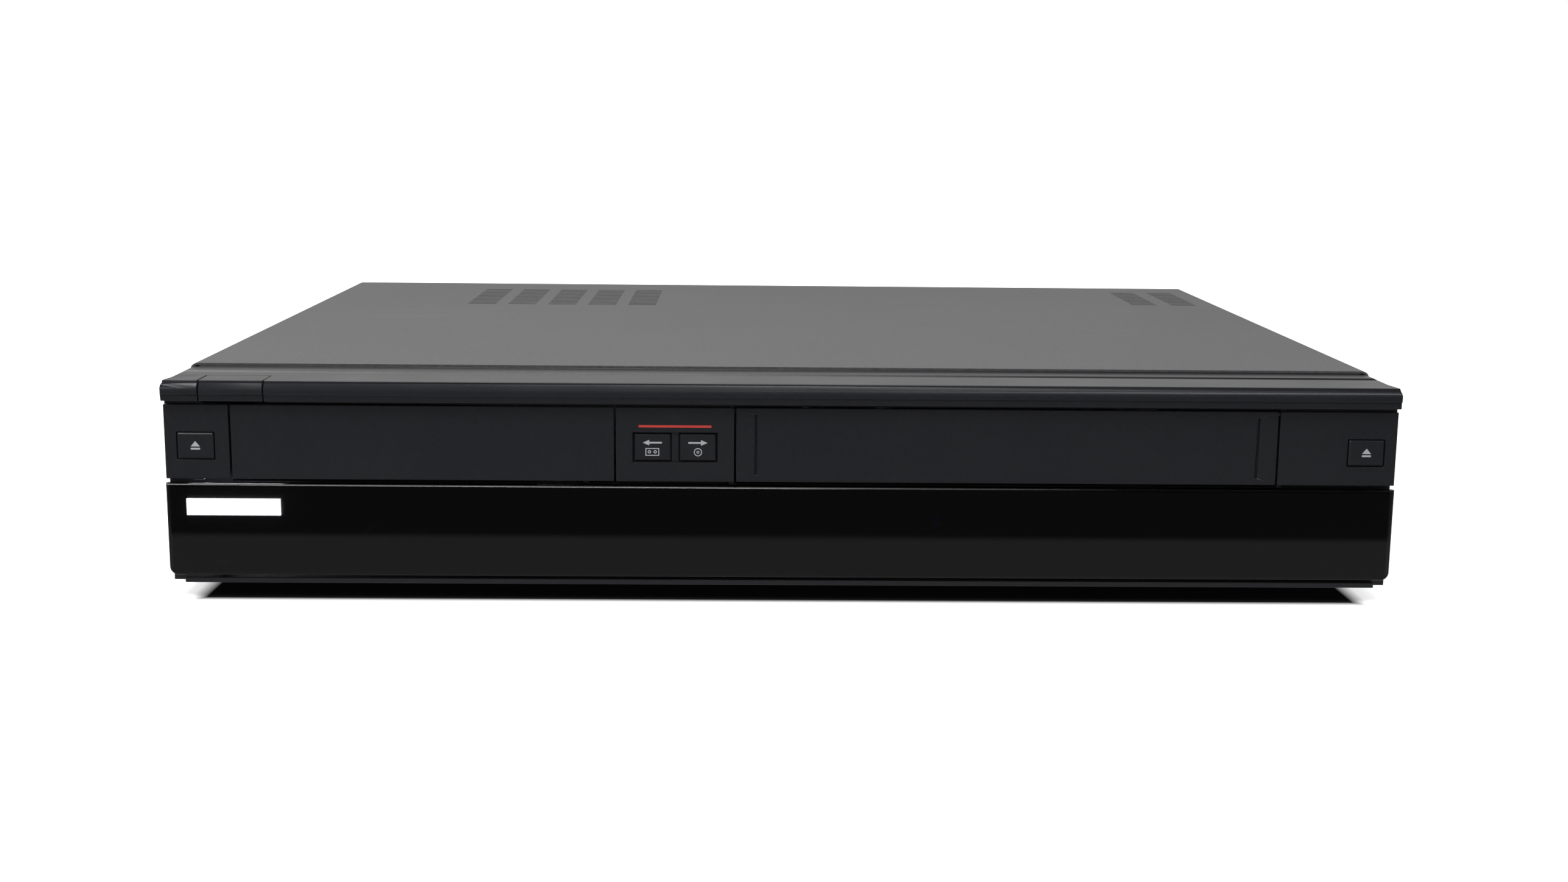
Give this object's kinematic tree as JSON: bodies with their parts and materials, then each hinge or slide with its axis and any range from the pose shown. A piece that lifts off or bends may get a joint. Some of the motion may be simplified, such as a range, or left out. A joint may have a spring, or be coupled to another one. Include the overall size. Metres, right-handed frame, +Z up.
{
  "type": "disc and tape player",
  "caption": "Full-width home disc and tape player: a tray and a cassette flap over a smoked drop-down front door, in a steel cover.",
  "frame": {"origin": "on the floor under the middle of the player", "axes": "+X to the right seen from the front, +Y towards the rear, +Z up; the front faces -Y"},
  "size_m": [0.43, 0.344, 0.079],
  "materials": {
    "dark_satin_plastic": "satin",
    "smoked_gloss_plastic": "gloss",
    "grey_painted_steel": "satin",
    "zinc_plated_steel": "satin",
    "black_rubber": "matte",
    "white_lit_plastic": "satin",
    "clear_window": "gloss",
    "display_glass": "gloss",
    "circuit_board": "satin",
    "black_plastic": "matte",
    "drum_aluminium": "turned",
    "polished_steel": "polished",
    "loader_plastic": "satin",
    "grey_plastic": "satin",
    "wound_components": "mixed",
    "white_plastic": "satin"
  },
  "bodies": {
    "chassis": {"top_cover": "grey_painted_steel", "base_pan": "zinc_plated_steel", "rear_panel": "zinc_plated_steel", "feet": "black_rubber", "cover_screws": "zinc_plated_steel", "front_bezel": "dark_satin_plastic", "indicator_bar": "white_lit_plastic", "display_filter": "clear_window", "display_tube": "display_glass", "front_boards": "circuit_board", "tact_switches": "black_plastic", "front_jacks": "black_plastic", "circuit_boards": "circuit_board", "power_parts": "wound_components", "jack_blocks": "black_plastic", "signal_sockets": "black_plastic", "tuner": "zinc_plated_steel", "mains_gland": "black_plastic", "loader_frame": "loader_plastic", "loading_belt": "black_rubber", "loading_motor": "zinc_plated_steel", "clamp_bridge": "zinc_plated_steel", "deck_plate": "zinc_plated_steel", "drum_lower": "drum_aluminium", "capstan_motor": "black_plastic", "tape_heads": "polished_steel", "carriage_sides": "zinc_plated_steel"},
    "front_door": {"front_door": "smoked_gloss_plastic"},
    "disc_tray": {"disc_tray": "loader_plastic", "tray_front": "dark_satin_plastic"},
    "tray_pinion": {"tray_pinion": "white_plastic"},
    "motor_pulley": {"motor_pulley": "polished_steel"},
    "traverse": {"traverse": "zinc_plated_steel", "guide_rods": "polished_steel", "spindle_motor": "zinc_plated_steel"},
    "turntable": {"turntable": "grey_plastic"},
    "disc_clamp": {"disc_clamp": "white_plastic"},
    "optical_pickup": {"optical_pickup": "black_plastic"},
    "cassette_door": {"cassette_door": "dark_satin_plastic"},
    "carriage_slider": {"carriage_slider": "zinc_plated_steel"},
    "cassette_basket": {"cassette_basket": "zinc_plated_steel"},
    "supply_reel_table": {"supply_reel_table": "grey_plastic"},
    "takeup_reel_table": {"takeup_reel_table": "grey_plastic"},
    "drum_upper": {"drum_upper": "drum_aluminium"},
    "capstan": {"capstan": "polished_steel"},
    "pinch_arm": {"pinch_arm": "zinc_plated_steel"},
    "pinch_roller": {"pinch_roller": "black_rubber"},
    "tape_guide_left": {"tape_guide_left": "polished_steel"},
    "tape_guide_right": {"tape_guide_right": "polished_steel"},
    "power_button": {"power_button": "dark_satin_plastic"},
    "disc_eject_button": {"disc_eject_button": "dark_satin_plastic"},
    "cassette_eject_button": {"cassette_eject_button": "dark_satin_plastic"},
    "dubbing_button_left": {"dubbing_button_left": "dark_satin_plastic"},
    "dubbing_button_right": {"dubbing_button_right": "dark_satin_plastic"},
    "key_rewind": {"key_rewind": "dark_satin_plastic"},
    "key_play": {"key_play": "dark_satin_plastic"},
    "key_forward": {"key_forward": "dark_satin_plastic"},
    "key_stop": {"key_stop": "dark_satin_plastic"},
    "key_record": {"key_record": "dark_satin_plastic"},
    "key_channel": {"key_channel": "dark_satin_plastic"}
  },
  "joints": [
    {"name": "front_door_hinge", "type": "hinge", "parent": "chassis", "child": "front_door", "pos_m": [0, -0.1678, 0.0108], "axis": [1, 0, 0], "range_deg": [0, 90]},
    {"name": "tray_slide", "type": "slide", "parent": "chassis", "child": "disc_tray", "axis": [0, -1, 0], "range_m": [0, 0.138]},
    {"name": "tray_pinion_spin", "type": "hinge", "parent": "chassis", "child": "tray_pinion", "pos_m": [-0.0798, -0.148, 0.047], "axis": [0, 0, 1], "range_deg": [-990, 0]},
    {"name": "motor_pulley_spin", "type": "hinge", "parent": "chassis", "child": "motor_pulley", "pos_m": [-0.1138, -0.132, 0.036], "axis": [0, 0, 1], "range_deg": [-4760, 0]},
    {"name": "traverse_tilt", "type": "hinge", "parent": "chassis", "child": "traverse", "pos_m": [-0.1258, -0.02, 0.0408], "axis": [1, 0, 0], "range_deg": [0, 4]},
    {"name": "turntable_spin", "type": "hinge", "parent": "traverse", "child": "turntable", "pos_m": [-0.1258, -0.096, 0.051], "axis": [0, 0, 1], "continuous": true},
    {"name": "disc_clamp_spin", "type": "hinge", "parent": "chassis", "child": "disc_clamp", "pos_m": [-0.1258, -0.096, 0.064], "axis": [0, 0, 1], "continuous": true},
    {"name": "pickup_slide", "type": "slide", "parent": "traverse", "child": "optical_pickup", "axis": [0, 1, 0], "range_m": [0, 0.024]},
    {"name": "cassette_door_hinge", "type": "hinge", "parent": "chassis", "child": "cassette_door", "pos_m": [0.0779, -0.1678, 0.0679], "axis": [1, 0, 0], "range_deg": [0, 90], "stiffness_Nm_per_rad": 0.003, "springref_deg": -20.05},
    {"name": "carriage_slide", "type": "slide", "parent": "chassis", "child": "carriage_slider", "axis": [0, 1, 0], "range_m": [0, 0.07]},
    {"name": "basket_drop", "type": "slide", "parent": "carriage_slider", "child": "cassette_basket", "axis": [0, 0, -1], "range_m": [0, 0.0148]},
    {"name": "supply_reel_spin", "type": "hinge", "parent": "chassis", "child": "supply_reel_table", "pos_m": [0.0329, -0.022, 0.022], "axis": [0, 0, 1], "continuous": true},
    {"name": "takeup_reel_spin", "type": "hinge", "parent": "chassis", "child": "takeup_reel_table", "pos_m": [0.1229, -0.022, 0.022], "axis": [0, 0, 1], "continuous": true},
    {"name": "drum_spin", "type": "hinge", "parent": "chassis", "child": "drum_upper", "pos_m": [0.0779, 0.078, 0.062], "axis": [0, 0, 1], "continuous": true},
    {"name": "capstan_spin", "type": "hinge", "parent": "chassis", "child": "capstan", "pos_m": [0.1399, 0.042, 0.022], "axis": [0, 0, 1], "continuous": true},
    {"name": "pinch_arm_swing", "type": "hinge", "parent": "chassis", "child": "pinch_arm", "pos_m": [0.1579, 0.068, 0.026], "axis": [0, 0, 1], "range_deg": [-25, 0]},
    {"name": "pinch_roller_spin", "type": "hinge", "parent": "pinch_arm", "child": "pinch_roller", "pos_m": [0.15248, 0.04413, 0.03], "axis": [0, 0, 1], "continuous": true},
    {"name": "tape_guide_left_slide", "type": "slide", "parent": "chassis", "child": "tape_guide_left", "axis": [-0.3762, 0.9265, 0], "range_m": [0, 0.066]},
    {"name": "tape_guide_right_slide", "type": "slide", "parent": "chassis", "child": "tape_guide_right", "axis": [0.3762, 0.9265, 0], "range_m": [0, 0.066]},
    {"name": "power_button_press", "type": "slide", "parent": "chassis", "child": "power_button", "axis": [0, 0, -1], "range_m": [0, 0.0008], "stiffness_N_per_m": 600, "springref_m": -0.0008},
    {"name": "disc_eject_button_press", "type": "slide", "parent": "chassis", "child": "disc_eject_button", "axis": [0, 1, 0], "range_m": [0, 0.0006], "stiffness_N_per_m": 600, "springref_m": -0.0008},
    {"name": "cassette_eject_button_press", "type": "slide", "parent": "chassis", "child": "cassette_eject_button", "axis": [0, 1, 0], "range_m": [0, 0.0006], "stiffness_N_per_m": 600, "springref_m": -0.0008},
    {"name": "dubbing_button_left_press", "type": "slide", "parent": "chassis", "child": "dubbing_button_left", "axis": [0, 1, 0], "range_m": [0, 0.0006], "stiffness_N_per_m": 600, "springref_m": -0.0008},
    {"name": "dubbing_button_right_press", "type": "slide", "parent": "chassis", "child": "dubbing_button_right", "axis": [0, 1, 0], "range_m": [0, 0.0006], "stiffness_N_per_m": 600, "springref_m": -0.0008},
    {"name": "key_rewind_press", "type": "slide", "parent": "chassis", "child": "key_rewind", "axis": [0, 1, 0], "range_m": [0, 0.0006], "stiffness_N_per_m": 600, "springref_m": -0.0008},
    {"name": "key_play_press", "type": "slide", "parent": "chassis", "child": "key_play", "axis": [0, 1, 0], "range_m": [0, 0.0006], "stiffness_N_per_m": 600, "springref_m": -0.0008},
    {"name": "key_forward_press", "type": "slide", "parent": "chassis", "child": "key_forward", "axis": [0, 1, 0], "range_m": [0, 0.0006], "stiffness_N_per_m": 600, "springref_m": -0.0008},
    {"name": "key_stop_press", "type": "slide", "parent": "chassis", "child": "key_stop", "axis": [0, 1, 0], "range_m": [0, 0.0006], "stiffness_N_per_m": 600, "springref_m": -0.0008},
    {"name": "key_record_press", "type": "slide", "parent": "chassis", "child": "key_record", "axis": [0, 1, 0], "range_m": [0, 0.0006], "stiffness_N_per_m": 600, "springref_m": -0.0008},
    {"name": "key_channel_press", "type": "slide", "parent": "chassis", "child": "key_channel", "axis": [0, 1, 0], "range_m": [0, 0.0006], "stiffness_N_per_m": 600, "springref_m": -0.0008}
  ],
  "couplings": [
    {"joint": "tray_pinion_spin", "follows": "tray_slide", "rad_per_m": -125},
    {"joint": "motor_pulley_spin", "follows": "tray_slide", "rad_per_m": -601.19},
    {"joint": "disc_clamp_spin", "follows": "turntable_spin", "ratio": 1},
    {"joint": "tape_guide_right_slide", "follows": "tape_guide_left_slide", "ratio": 1}
  ]
}
